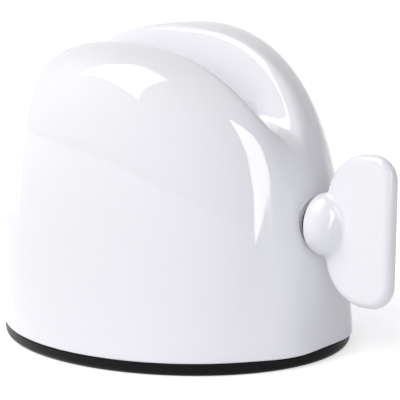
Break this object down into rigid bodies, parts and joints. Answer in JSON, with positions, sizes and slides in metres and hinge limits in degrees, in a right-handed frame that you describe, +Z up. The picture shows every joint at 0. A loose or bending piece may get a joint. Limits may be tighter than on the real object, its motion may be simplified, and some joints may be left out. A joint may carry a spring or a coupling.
{
  "type": "toothpaste dispenser",
  "caption": "Glossy white two-lobed winding toothpaste dispenser: the tube's tail feeds through the valley into a slotted roller turned by a side key.",
  "frame": {"origin": "centre of the pad's underside, on the surface that the dispenser stands on", "axes": "+X along the roller to the winding key, -Y to the front lobe, +Z up"},
  "size_m": [0.0864, 0.051, 0.0561],
  "materials": {
    "gloss_white_abs": "polished white ABS",
    "natural_pom": "satin natural acetal",
    "black_abs": "fine matt black ABS",
    "black_rubber": "satin black rubber",
    "zinc_steel": "bright zinc-plated steel"
  },
  "bodies": {
    "body": {"housing": "gloss_white_abs", "key_bush": "gloss_white_abs", "far_bush": "gloss_white_abs", "base_plate": "black_abs", "anti_slip_pad": "black_rubber", "base_screws": "zinc_steel"},
    "winder": {"roller": "natural_pom", "winding_key": "gloss_white_abs", "drive_pin": "zinc_steel", "friction_washer": "black_rubber"}
  },
  "joints": [
    {"name": "key_turn", "type": "hinge", "parent": "body", "child": "winder", "pos_m": [0, 0, 0.0253], "axis": [1, 0, 0], "continuous": true}
  ]
}
